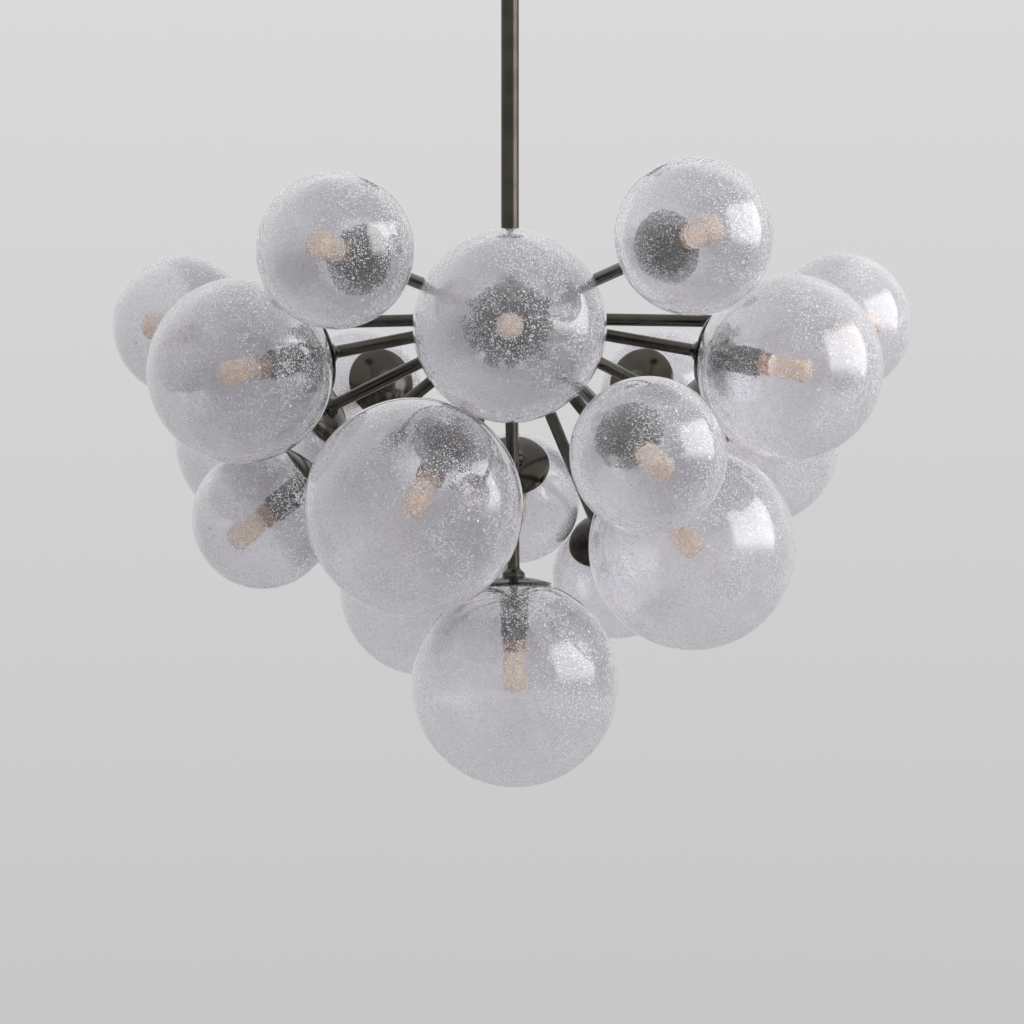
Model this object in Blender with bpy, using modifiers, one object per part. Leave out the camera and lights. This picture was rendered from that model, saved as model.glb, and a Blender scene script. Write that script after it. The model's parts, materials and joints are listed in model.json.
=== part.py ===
"""Chandelier of clear glass globes on arms that radiate from one hub, hung on a rod with a swivel.

Metres, +Z up. The origin is the centre of the canopy's flat ceiling face, and everything
hangs below it. Each arm, globe and bulb is turned about one line that starts at the hub's centre.
"""

import itertools
import math

import bmesh
import bpy
from mathutils import Vector

# Overall size: the arms' lengths are shares of this, and the hub hangs this far below the ceiling.
cluster_radius = 0.450
hub_depth = 0.432

# Canopy: a shallow dome with a flat back, a spherical seat in its collar, and a hole for the wires.
canopy_diameter = 0.140
canopy_drop = 0.038
canopy_wall = 0.003
canopy_rim_height = 0.006
collar_wall = 0.004
wire_hole_diameter = 0.016

# Swivel: a ball on the rod's top, in a liner, in the canopy's seat. The dome ends below its centre.
ball_diameter = 0.040
dome_below_ball = 0.008
liner_wall = 0.0017
swivel_gap = 0.0003
seat_open_angle = 58.0
seat_top_angle = 92.0
liner_open_angle = 63.0
liner_top_angle = 100.0

# Rod and hub. The hub is as large as the two closest arms need, to clear each other.
stem_diameter = 0.019
arm_spacing = 0.0006

# Arms, with their threaded ends in the hub and their sockets in the globes.
arm_diameter = 0.013
thread_diameter = 0.008
thread_length = 0.008
thread_gap = 0.0003
collar_diameter = 0.024
collar_length = 0.009
collar_flare_length = 0.005
cap_diameter = 0.078
cap_wall = 0.0022
sleeve_diameter = 0.030
sleeve_length = 0.062
retainer_diameter = 0.048
retainer_height = 0.005

# Glass, thicker at the neck than at the far end, as blown glass is.
small_globe_diameter = 0.150
medium_globe_diameter = 0.190
large_globe_diameter = 0.218
far_wall = 0.005
neck_wall = 0.009
neck_clearance = 0.001
globe_gap = 0.004

# Lamps. Each base sits in the recess in the end of its sleeve.
lamp_ring_diameter = 0.025
lamp_ring_height = 0.013
lamp_base_diameter = 0.021
lamp_base_length = 0.010
lamp_neck_diameter = 0.021
envelope_diameter = 0.027
envelope_length = 0.042
envelope_neck_length = 0.010
envelope_shoulder_share = 0.62
envelope_tip_share = 0.55

# One running gap for pieces that seat on each other, and one overrun for cuts.
fit_gap = 0.0003
cut_overrun = 0.004

# The globes, by number: size, azimuth and elevation of the arm in degrees (azimuth 0 is +X, and
# -90 faces the room), and the globe's distance from the hub as a share of cluster_radius.
small, medium, large = small_globe_diameter, medium_globe_diameter, large_globe_diameter
globe_reach_share = (
    (small, -114.0, 6.0, 0.905),
    (small, -65.5, 7.5, 0.935),
    (medium, -90.0, -5.0, 0.580),
    (small, 173.5, -1.0, 0.780),
    (medium, -156.5, -11.5, 0.680),
    (medium, -23.0, -10.5, 0.700),
    (small, 6.5, -0.5, 0.790),
    (small, 180.0, -39.0, 0.745),
    (large, -115.0, -41.5, 0.670),
    (small, -70.0, -21.5, 0.915),
    (large, -3.0, -51.5, 0.685),
    (large, -74.5, -87.0, 0.855),
    (medium, 149.0, -21.5, 0.765),
    (medium, 32.0, -21.5, 0.760),
    (small, 89.0, -34.0, 0.750),
    (medium, 120.0, -57.5, 0.765),
    (small, 69.5, -38.0, 0.995),
    (small, 116.0, -9.5, 0.905),
    (small, 63.5, -9.5, 0.905),
)

# Facets round each turned piece, and along its arcs.
globe_facets = 12
globe_outer_arcs = 6
globe_inner_arcs = 4
lamp_facets = 8
stem_facets = 20
hub_arcs = 10
ball_arcs = 7
swivel_facets = 24
swivel_arcs = 4
bore_facets = 8

full_turn = 2 * math.pi
half_turn = 180.0

small_merge = 0.00001
arm_radius = arm_diameter / 2
thread_radius = thread_diameter / 2
sleeve_radius = sleeve_diameter / 2
neck_radius = sleeve_radius + neck_clearance
ball_radius = ball_diameter / 2
ball_depth = canopy_drop - dome_below_ball
seat_radius = ball_radius + liner_wall + 2 * swivel_gap


def clear_scene():
    for thing in list(bpy.data.objects):
        bpy.data.objects.remove(thing, do_unlink=True)


def finish(name, color, roughness, metallic, transmission=0.0, ior=1.45):
    """A Principled material with the piece's colour, gloss and metal."""
    material = bpy.data.materials.new(name)
    material.use_nodes = True
    shader = material.node_tree.nodes["Principled BSDF"]
    shader.inputs["Base Color"].default_value = (*color, 1.0)
    shader.inputs["Roughness"].default_value = roughness
    shader.inputs["Metallic"].default_value = metallic
    shader.inputs["Transmission Weight"].default_value = transmission
    shader.inputs["IOR"].default_value = ior
    material.diffuse_color = (*color, 1.0)
    return material


def arc(middle, radius, start, end, steps):
    """Points of a turned arc: (distance from the axis, height), by angle from straight down."""
    points = []
    for step in range(steps + 1):
        angle = math.radians(start + (end - start) * step / steps)
        points.append((radius * math.sin(angle), middle - radius * math.cos(angle)))
    return points


def angle_at(distance, radius):
    """The angle from straight down at which a sphere is this far from its axis."""
    return math.degrees(math.asin(distance / radius))


def turned(name, profile, facets, material, parent, collection):
    """A solid turned about local Z, from a profile that runs down its outer side.

    A profile that starts off the axis is a closed loop, so it turns into a ring.
    """
    mesh = bpy.data.meshes.new(name)
    points = [(distance, 0.0, height) for distance, height in profile]
    order = list(range(len(points)))
    edges = list(zip(order, order[1:]))
    if profile[0][0] > 0.0:
        edges.append((order[-1], order[0]))
    mesh.from_pydata(points, edges, [])
    piece = bpy.data.objects.new(name, mesh)
    collection.objects.link(piece)
    piece.parent = parent
    piece.data.materials.append(material)
    screw = piece.modifiers.new("Turn", "SCREW")
    screw.axis = "Z"
    screw.angle = full_turn
    screw.steps = facets
    screw.render_steps = facets
    screw.use_merge_vertices = True
    screw.merge_threshold = small_merge
    screw.use_smooth_shade = True
    return piece


def aim(piece, direction):
    """Turns a piece so that its local Z runs along a direction from the hub."""
    piece.rotation_mode = "QUATERNION"
    piece.rotation_quaternion = direction.to_track_quat("Z", "Y")


def pointing(azimuth, elevation):
    across, up = math.radians(azimuth), math.radians(elevation)
    flat = math.cos(up)
    return Vector((flat * math.cos(across), flat * math.sin(across), math.sin(up)))


def clear_reach(radius, direction, reach, near):
    """The reach at which a globe on this arm only just clears one already placed."""
    _, near_radius, near_direction, near_reach = near
    span = radius + near_radius + globe_gap
    along = near_reach * direction.dot(near_direction)
    if (direction * reach - near_direction * near_reach).length >= span:
        return reach
    return along + math.sqrt(along**2 - near_reach**2 + span**2)


def place_globes():
    """Each globe's size, direction and reach from the hub, nearest first.

    A globe keeps its own reach unless it would come within globe_gap of a globe already
    placed, or of an arm that passes it. Then its arm grows until it is clear.
    """
    rows = []
    for number, (size, azimuth, elevation, share) in enumerate(globe_reach_share, start=1):
        rows.append([number, size / 2, pointing(azimuth, elevation), share * cluster_radius])
    rows.sort(key=lambda row: row[3])
    placed = []
    for number, radius, direction, reach in rows:
        for _, _, passing, passing_reach in rows:
            between = direction.angle(passing)
            if passing_reach > reach and between < math.pi / 2:
                reach = max(reach, (radius + arm_radius + globe_gap) / math.sin(between))
        for _ in placed:
            reach = max([reach, *(clear_reach(radius, direction, reach, near) for near in placed)])
        placed.append((number, radius, direction, reach))
    return sorted(placed, key=lambda row: row[0])


def hub_radius_for(globes):
    """The smallest ball on whose surface the two closest arms clear each other."""
    closest = min(a[2].angle(b[2]) for a, b in itertools.combinations(globes, 2))
    return (arm_radius + arm_spacing) / math.sin(closest / 2)


def cap_angle(radius):
    return angle_at(cap_diameter / 2, radius)


def glass_hollow(radius, reach):
    """Radius and centre of the ball-shaped hollow, which lies further out than the globe."""
    hollow = radius - (far_wall + neck_wall) / 2
    return hollow, reach + (neck_wall - far_wall) / 2


def globe_profile(radius, reach):
    neck = angle_at(neck_radius, radius)
    rim = cap_angle(radius)
    hollow, middle = glass_hollow(radius, reach)
    hollow_neck = angle_at(neck_radius, hollow)
    hollow_seat = angle_at(retainer_diameter / 2, hollow)
    outside = arc(reach, radius, half_turn, rim, globe_outer_arcs)
    outside += arc(reach, radius, neck, neck, 1)[:1]
    inside = arc(middle, hollow, hollow_neck, hollow_neck, 1)[:1]
    inside += arc(middle, hollow, hollow_seat, half_turn, globe_inner_arcs)
    return outside + inside


def arm_profile(radius, reach, hub_radius):
    """From the bottom of the lamp's recess, out over the sleeve, cap and tube to the thread."""
    pole = reach - radius
    mouth = pole + sleeve_length
    recess_radius = (lamp_base_diameter / 2 + fit_gap) / math.cos(math.pi / globe_facets)
    recess_bottom = mouth - lamp_base_length - fit_gap
    hollow, middle = glass_hollow(radius, reach)
    seat = arc(middle, hollow - fit_gap, angle_at(retainer_diameter / 2, hollow), 0.0, 1)[0]
    seat_neck = middle - math.sqrt((hollow - fit_gap) ** 2 - neck_radius**2)
    under = radius + fit_gap
    rim = arc(reach, under, cap_angle(radius), 0.0, 1)[0]
    sleeve_top = reach - math.sqrt(under**2 - sleeve_radius**2)
    over = arc(reach, under + cap_wall, cap_angle(radius), 0.0, 1)[0]
    collar_radius = collar_diameter / 2
    collar_end = reach - math.sqrt((under + cap_wall) ** 2 - collar_radius**2)
    collar_start = collar_end - collar_length
    shoulder = hub_radius + fit_gap
    thread_end = hub_radius - thread_length
    return [
        (0.0, recess_bottom),
        (recess_radius, recess_bottom),
        (recess_radius, mouth),
        (sleeve_radius, mouth),
        (sleeve_radius, seat_neck + retainer_height),
        seat,
        (sleeve_radius, seat_neck),
        (sleeve_radius, sleeve_top),
        rim,
        over,
        (collar_radius, collar_end),
        (collar_radius, collar_start + collar_flare_length),
        (arm_radius, collar_start),
        (arm_radius, shoulder),
        (thread_radius, shoulder),
        (thread_radius, thread_end),
        (0.0, thread_end),
    ]


def lamp_profile(radius, reach):
    """A base, a metal ring, and a tube-shaped glass envelope with a rounded end."""
    mouth = reach - radius + sleeve_length
    ring_start = mouth + fit_gap
    ring_end = ring_start + lamp_ring_height
    tip = ring_end + envelope_length
    shoulder = ring_end + envelope_neck_length
    ring_radius, widest = lamp_ring_diameter / 2, envelope_diameter / 2
    round_start = tip - widest * envelope_shoulder_share
    return [
        (0.0, tip),
        (widest * envelope_tip_share, tip),
        (widest, round_start),
        (widest, shoulder),
        (lamp_neck_diameter / 2, ring_end),
        (ring_radius, ring_end),
        (ring_radius, ring_start),
        (lamp_base_diameter / 2, ring_start),
        (lamp_base_diameter / 2, mouth - lamp_base_length),
        (0.0, mouth - lamp_base_length),
    ]


def stem_profile(hub_radius):
    """Ball, rod and hub, as heights from the hub's centre."""
    stem_radius = stem_diameter / 2
    ball = arc(hub_depth - ball_depth, ball_radius, half_turn, angle_at(stem_radius, ball_radius), ball_arcs)
    hub = arc(0.0, hub_radius, half_turn - angle_at(stem_radius, hub_radius), 0.0, hub_arcs)
    return ball + hub


def canopy_profile():
    """Flat back, domed side, and a collar whose inside is a spherical seat."""
    radius = canopy_diameter / 2
    outer_collar = seat_radius + collar_wall
    mouth = arc(-ball_depth, seat_radius, seat_open_angle, seat_open_angle, 1)[0]
    seat = arc(-ball_depth, seat_radius, seat_open_angle, seat_top_angle, swivel_arcs)
    inner_radius = radius - canopy_wall
    # A quarter ellipse from the rim's lower edge to the top of the collar.
    outside, inside = [], []
    dome_drop = canopy_drop - canopy_rim_height
    for step in range(swivel_arcs + 1):
        angle = math.radians(90.0 * step / swivel_arcs)
        across, down = math.cos(angle), math.sin(angle)
        outside.append(
            (outer_collar + (radius - outer_collar) * across, -canopy_rim_height - dome_drop * down)
        )
        inside.append(
            (
                outer_collar + (inner_radius - outer_collar) * across,
                -canopy_rim_height - (dome_drop - canopy_wall) * down,
            )
        )
    collar_bottom = (mouth[0] + collar_wall, mouth[1])
    return [
        (0.0, 0.0),
        (radius, 0.0),
        *outside,
        collar_bottom,
        *seat,
        (outer_collar, seat[-1][1]),
        *reversed(inside),
        (inner_radius, -canopy_wall),
        (0.0, -canopy_wall),
    ]


def liner_profile():
    """A thin spherical ring between the ball and the seat, as heights from the ball's centre."""
    outer = seat_radius - swivel_gap
    inner = ball_radius + swivel_gap
    outside = arc(0.0, outer, liner_top_angle, liner_open_angle, swivel_arcs)
    inside = arc(0.0, inner, liner_open_angle, liner_top_angle, swivel_arcs)
    return outside + inside


def rod_cutter(name, radius, bottom, top, parent, cutters):
    """A rod along local Z, between two heights, that drills a hole."""
    mesh = bpy.data.meshes.new(name)
    shape = bmesh.new()
    bmesh.ops.create_cone(
        shape,
        cap_ends=True,
        segments=bore_facets,
        radius1=radius,
        radius2=radius,
        depth=top - bottom,
    )
    bmesh.ops.translate(shape, verts=shape.verts, vec=(0.0, 0.0, (bottom + top) / 2))
    shape.to_mesh(mesh)
    shape.free()
    cutter = bpy.data.objects.new(name, mesh)
    cutters.objects.link(cutter)
    cutter.parent = parent
    cutter.hide_render = True
    cutter.display_type = "WIRE"
    return cutter


def drill(piece, cutter):
    cut = piece.modifiers.new(cutter.name, "BOOLEAN")
    cut.operation = "DIFFERENCE"
    cut.solver = "EXACT"
    cut.object = cutter


def empty(name, height, parent, collection):
    mark = bpy.data.objects.new(name, None)
    collection.objects.link(mark)
    mark.location = (0.0, 0.0, height)
    mark.parent = parent
    mark.empty_display_size = ball_radius
    return mark


def build():
    clear_scene()
    scene = bpy.context.scene
    chandelier = bpy.data.collections.new("chandelier")
    cutters = bpy.data.collections.new("cutters")
    scene.collection.children.link(chandelier)
    scene.collection.children.link(cutters)

    bronze = finish("dark_bronze", (0.052, 0.047, 0.040), 0.32, 1.0)
    nylon = finish("swivel_liner", (0.55, 0.53, 0.48), 0.55, 0.0)
    glass = finish("seeded_glass", (0.93, 0.93, 0.95), 0.03, 0.0, transmission=1.0, ior=1.50)
    lamp = finish("lamp_amber", (0.83, 0.52, 0.33), 0.12, 0.0, transmission=0.6, ior=1.45)

    globes = place_globes()
    hub_radius = hub_radius_for(globes)

    swivel_centre = empty("swivel_centre", -ball_depth, None, chandelier)
    hub_centre = empty("hub_centre", ball_depth - hub_depth, swivel_centre, chandelier)

    canopy = turned("canopy", canopy_profile(), swivel_facets, bronze, None, chandelier)
    wire_cutter = rod_cutter(
        "wire_hole_cutter", wire_hole_diameter / 2, -canopy_wall - cut_overrun, cut_overrun, None, cutters
    )
    # halfway between the collar and the rim
    wire_cutter.location = (0.0, -(seat_radius + collar_wall + canopy_diameter / 2 - canopy_wall) / 2, 0.0)
    drill(canopy, wire_cutter)
    turned("swivel_liner", liner_profile(), swivel_facets, nylon, swivel_centre, chandelier)
    stem = turned("stem_and_hub", stem_profile(hub_radius), stem_facets, bronze, hub_centre, chandelier)

    for number, radius, direction, reach in globes:
        tag = f"{number:02d}"
        cutter = rod_cutter(
            "thread_cutter_" + tag,
            thread_radius + thread_gap,
            hub_radius - thread_length - fit_gap,
            hub_radius + cut_overrun,
            hub_centre,
            cutters,
        )
        aim(cutter, direction)
        drill(stem, cutter)
        arm = arm_profile(radius, reach, hub_radius)
        for name, profile, facets, material in (
            ("arm_" + tag, arm, globe_facets, bronze),
            ("glass_globe_" + tag, globe_profile(radius, reach), globe_facets, glass),
            ("lamp_" + tag, lamp_profile(radius, reach), lamp_facets, lamp),
        ):
            piece = turned(name, profile, facets, material, hub_centre, chandelier)
            aim(piece, direction)


build()
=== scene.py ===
import json
import math

import bpy
import numpy as np
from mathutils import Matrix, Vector


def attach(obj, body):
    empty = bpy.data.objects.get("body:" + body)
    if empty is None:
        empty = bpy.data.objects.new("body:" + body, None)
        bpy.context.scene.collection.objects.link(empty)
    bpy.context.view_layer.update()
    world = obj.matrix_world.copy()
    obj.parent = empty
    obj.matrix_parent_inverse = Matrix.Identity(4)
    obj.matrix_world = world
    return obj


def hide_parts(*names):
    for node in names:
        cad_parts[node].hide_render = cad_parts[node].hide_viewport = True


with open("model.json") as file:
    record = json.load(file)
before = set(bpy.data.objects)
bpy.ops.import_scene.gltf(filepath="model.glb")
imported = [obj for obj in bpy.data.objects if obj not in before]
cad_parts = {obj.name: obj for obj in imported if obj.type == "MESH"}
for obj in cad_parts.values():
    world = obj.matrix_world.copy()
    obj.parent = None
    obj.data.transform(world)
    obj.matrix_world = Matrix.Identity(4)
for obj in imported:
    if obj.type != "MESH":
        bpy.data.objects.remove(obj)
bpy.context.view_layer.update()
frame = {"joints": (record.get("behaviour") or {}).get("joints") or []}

print("frame loaded")


layout = {
    "hubHeight": -0.432,  # the hub's centre, below the ceiling face
    "hubRadius": 0.0504,
    "swivelHeight": frame["joints"][0]["pos_m"][2],
    "globeCount": 19,
    "fitGap": 0.0003,
    "sharpAngle": 40.0,  # faces that meet at more than this show an edge
    "samePoint": 1e-9,
}
hubCentre = np.array([0.0, 0.0, layout["hubHeight"]])


def nodePoints(node):
    # all of a CAD node's corners, as rows of x, y, z
    mesh = bpy.data.objects[node].data
    flat = np.empty(len(mesh.vertices) * 3)
    mesh.vertices.foreach_get("co", flat)
    return flat.reshape(-1, 3)


def readGlobe(number):
    # The far pole is the corner furthest from the hub. The ball through the pole and through
    # the corner widest of the axis has its centre on the axis.
    points = nodePoints(f"glass_globe_{number:02d}") - hubCentre
    pole = points[np.argmax(np.linalg.norm(points, axis=1))]
    far = np.linalg.norm(pole)
    direction = pole / far
    along = points @ direction
    wide = np.linalg.norm(points - along[:, None] * direction, axis=1)
    k = np.argmax(wide)
    reach = (far**2 - along[k] ** 2 - wide[k] ** 2) / (2 * (far - along[k]))
    return {"tag": f"{number:02d}", "direction": direction, "reach": reach, "radius": far - reach}


globes = [readGlobe(number) for number in range(1, layout["globeCount"] + 1)]
print("globes read:", [round(g["radius"] * 1000) for g in globes])


def frameAlong(direction):
    # three unit lines at right angles, the third along the direction
    helper = np.array([0.0, 1.0, 0.0]) if abs(direction[1]) < 0.9 else np.array([1.0, 0.0, 0.0])
    side = np.cross(helper, direction)
    side /= np.linalg.norm(side)
    return np.stack([side, np.cross(direction, side), direction])


def arcPoints(middle, radius, start, end, count):
    # (radius * sin a, middle - radius * cos a), with a from start to end in degrees
    a = np.radians(np.linspace(start, end, count))
    return np.stack([radius * np.sin(a), middle - radius * np.cos(a)], axis=1)


def angleAt(width, radius):
    # where a ball of this radius is as wide as that, in degrees from its lower pole
    return math.degrees(math.asin(width / radius))


def softened(corners, radii, count=5):
    # Each corner with a radius becomes a round of it: a quadratic curve from a point that far
    # before the corner to a point that far after it, pulled towards the corner.
    corners = np.asarray(corners, float)
    out = [corners[:1]]
    t = np.linspace(0, 1, count)[:, None]
    for k in range(1, len(corners) - 1):
        here, r = corners[k], radii.get(k, 0.0)
        if r == 0.0:
            out.append(here[None])
            continue
        before, after = corners[k - 1] - here, corners[k + 1] - here
        r = min(r, 0.49 * np.linalg.norm(before), 0.49 * np.linalg.norm(after))
        a = here + before / np.linalg.norm(before) * r
        b = here + after / np.linalg.norm(after) * r
        out.append((1 - t) ** 2 * a + 2 * t * (1 - t) * here + t**2 * b)
    out.append(corners[-1:])
    return np.concatenate(out)


def turnedGrid(profile, sides):
    # (distance * cos u, distance * sin u, height), for u round the axis
    u = 2 * np.pi * np.arange(sides) / sides
    distance, height = profile[:, :1], profile[:, 1:]
    return np.stack(
        [
            distance * np.cos(u),
            distance * np.sin(u),
            np.broadcast_to(height, (len(profile), sides)),
        ],
        axis=-1,
    )


def skin(name, grid, along, materials, rowSlots=None, ring=False):
    # A closed surface from a grid of rows round an axis. A row of no width is a pole, and its
    # faces are triangles. With ring, the last row joins the first.
    rows, columns = grid.shape[:2]
    poleStart = np.ptp(grid[0], axis=0).max() < layout["samePoint"]
    poleEnd = np.ptp(grid[-1], axis=0).max() < layout["samePoint"]
    number = np.arange(rows * columns).reshape(rows, columns)
    if poleStart:
        number[0] = 0
    if poleEnd:
        number[-1] = number[-1, 0]
    used, packed = np.unique(number, return_inverse=True)
    points = grid.reshape(-1, 3)[used]
    number = packed.reshape(rows, columns)
    following = np.roll(number, -1, axis=1)
    top, bottom = (number, np.roll(number, -1, axis=0)) if ring else (number[:-1], number[1:])
    topNext = following if ring else following[:-1]
    bottomNext = np.roll(following, -1, axis=0) if ring else following[1:]
    quads = np.stack([top, bottom, bottomNext, topNext], axis=-1)
    u0 = np.broadcast_to(np.arange(columns) / columns, top.shape)
    u1 = u0 + 1 / columns
    v0 = np.broadcast_to(along[: len(top), None], top.shape)
    v1 = np.broadcast_to(np.roll(along, -1)[: len(top), None], top.shape)
    corners = ((u0, v0), (u0, v1), (u1, v1), (u1, v0))
    uvs = np.stack([np.stack(corner, -1) for corner in corners], axis=-2)
    slots = np.zeros(len(top), int) if rowSlots is None else np.asarray(rowSlots)[: len(top)]
    faces, coords, slotOf = [], [], []
    for part, keep in (
        (slice(0, 1), [0, 1, 2] if poleStart else None),
        (slice(1, len(top) - 1), None),
        (slice(len(top) - 1, len(top)), [0, 1, 3] if poleEnd else None),
    ):
        corner = [0, 1, 2, 3] if keep is None else keep
        faces += quads[part][..., corner].reshape(-1, len(corner)).tolist()
        coords.append(uvs[part][..., corner, :].reshape(-1, 2))
        slotOf.append(np.repeat(slots[part], columns))
    mesh = bpy.data.meshes.new(name)
    mesh.from_pydata(points.tolist(), [], faces)
    layer = mesh.uv_layers.new(name="turned")
    layer.uv.foreach_set("vector", np.concatenate(coords).astype(np.float32).ravel())
    mesh.polygons.foreach_set("material_index", np.concatenate(slotOf).astype(np.int32))
    for material in materials:
        mesh.materials.append(material)
    mesh.shade_smooth()
    mesh.set_sharp_from_angle(angle=math.radians(layout["sharpAngle"]))
    mesh.update()
    piece = bpy.data.objects.new(name, mesh)
    bpy.context.scene.collection.objects.link(piece)
    return piece


def turned(
    name,
    profile,
    sides,
    materials,
    axes=None,
    origin=hubCentre,
    wave=None,
    rowSlots=None,
    ring=False,
):
    # a profile turned about a line, which runs from the origin along the third of the axes
    profile = np.asarray(profile, float)
    grid = turnedGrid(profile, sides)
    if wave is not None:
        grid = grid + wave(grid)
    axes = np.eye(3) if axes is None else axes
    steps = np.linalg.norm(np.diff(profile, axis=0), axis=1)
    along = np.concatenate([[0.0], np.cumsum(steps)])
    return skin(name, grid @ axes + origin, along, materials, rowSlots, ring)


def finish(piece, body, slot, *nodes):
    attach(piece, body)
    if nodes:
        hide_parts(*nodes)
    return piece


class Shader:
    # a short way to write a node tree: add() makes a node, sets its sockets and joins them

    def __init__(self, name):
        self.material = bpy.data.materials.new(name)
        self.material.use_nodes = True
        self.tree = self.material.node_tree
        self.base = self.tree.nodes["Principled BSDF"]

    def put(self, socket, value):
        if isinstance(value, bpy.types.NodeSocket):
            self.tree.links.new(value, socket)
        else:
            socket.default_value = value

    def add(self, kind, inputs=None, out=0, **settings):
        node = self.tree.nodes.new(kind)
        for key, value in settings.items():
            setattr(node, key, value)
        for key, value in (inputs or {}).items():
            self.put(node.inputs[key], value)
        return node.outputs[out]

    def math(self, operation, a, b=0.0, clamp=False):
        return self.add("ShaderNodeMath", {0: a, 1: b}, operation=operation, use_clamp=clamp)

    def ramp(self, value, fromLow, fromHigh, toLow, toHigh, kind="SMOOTHSTEP"):
        inputs = {
            "Value": value,
            "From Min": fromLow,
            "From Max": fromHigh,
            "To Min": toLow,
            "To Max": toHigh,
        }
        return self.add("ShaderNodeMapRange", inputs, interpolation_type=kind)

    def noise(self, position, scale, detail):
        inputs = {"Vector": position, "Scale": scale, "Detail": detail}
        return self.add("ShaderNodeTexNoise", inputs)

    def bump(self, height, strength=1.0, distance=1.0):
        inputs = {"Height": height, "Strength": strength, "Distance": distance}
        return self.add("ShaderNodeBump", inputs)

    def inverse(self, value):
        return self.math("SUBTRACT", 1.0, value)

    def mix(self, factor, a, b):
        inputs = {"Factor": factor, "A": a, "B": b}
        return self.add("ShaderNodeMix", inputs, out=2, data_type="RGBA")

    def set(self, **values):
        for key, value in values.items():
            self.put(self.base.inputs[key.replace("_", " ")], value)
        return self.material


glassLook = {
    "tint": (0.882, 0.870, 0.897, 1.0),
    "ior": 1.5,
    "fineCell": 0.0017,  # metres between the fine seeds
    "fineDepth": 0.00008,  # metres that a fine seed lifts the skin
    "fineShare": 0.92,  # share of the cells that have a seed
    "fineFill": 0.68,  # the largest seed's radius, as a share of its cell
    "leastFill": 0.35,  # the smallest seed's radius, as a share of the largest's
    "seedEdge": (0.10, 0.35),  # where a fine seed begins, and where it is fully milky
    "seedWhite": 0.95,  # share of a seed's middle that is milky
    "driftScale": 26.0,
    "driftRange": (0.38, 0.60),
    "driftLow": 0.42,  # how dense the fine seeds are between the drifts
    "ringCell": 0.0075,  # metres between the coarse bubbles, which show as white rings
    "ringShare": 0.28,
    "ringFill": 0.34,
    "ringOutside": (0.0, 0.3),  # where a ring begins, from 0 at its edge to 1 in its middle
    "ringInside": (0.45, 0.8),  # and where it ends
    "ringMiddle": 0.1,
    "mistLow": 0.0,  # share of the surface that is milky between the seeds, from here
    "mistHigh": 0.08,  # to here
    "grainScale": 620.0,
    "grainRange": (0.36, 0.62),
    "slantPower": 1.5,  # how fast slanted looks cloud over
    "slantSeeds": 0.3,  # how fast they meet more seeds
    "leastCosine": 0.3,
    "strandSize": 0.008,  # metres between the fine curved strands
    "strandWhite": 0.55,
    "strandEdge": (0.004, 0.016),
    "strandDrift": (0.48, 0.56),
    "markLevel": 0.43,
    "markEdge": 0.012,
    "markDark": 0.42,  # how much of the mark's tint the fine dark marks take
    "markTint": (0.30, 0.29, 0.30, 1.0),
    "beltStart": (-0.3, 0.1),  # where the belt begins, from -1 at the far pole to 1 at the neck
    "beltEnd": (0.74, 0.90),
    # painted shade: a darker tint for the belt on each globe's hub side, where the cluster is in
    # shade
    "beltTint": (0.78, 0.77, 0.795, 1.0),
    "beltVeil": 0.72,  # share of the belt that is milky
    "neckHaze": 0.05,  # share of the belt's haze that is left round the neck
    "hazeClear": 0.03,  # roughness where light goes in
    "hazeBelt": 0.80,  # and where it goes out through the belt
    "coatRough": 0.05,
    "innerRough": 0.05,
    "innerClear": 0.98,
    "lumpSize": 0.0065,  # the hollow's wall is uneven: metres from one lump to the next
    "lumpHeight": 0.00022,
}


def seeds(shader, position, cell, share, fill):
    # Round bubbles, one at most in each cell: 1 at a bubble's middle, 0 from its edge outwards.
    # A cell's random colour says whether it has one, and how large it is.
    voronoi = shader.tree.nodes.new("ShaderNodeTexVoronoi")
    shader.put(voronoi.inputs["Vector"], position)
    voronoi.inputs["Scale"].default_value = 1 / cell
    split = shader.tree.nodes.new("ShaderNodeSeparateColor")
    shader.put(split.inputs[0], voronoi.outputs["Color"])
    least = glassLook["leastFill"] * fill
    size = shader.ramp(split.outputs[0], 0.0, 1.0, least, fill, "LINEAR")
    there = shader.math("LESS_THAN", split.outputs[1], share)
    nearness = shader.math("DIVIDE", voronoi.outputs["Distance"], size)
    return shader.math("MULTIPLY", shader.ramp(nearness, 0.0, 1.0, 1.0, 0.0), there)


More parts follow.
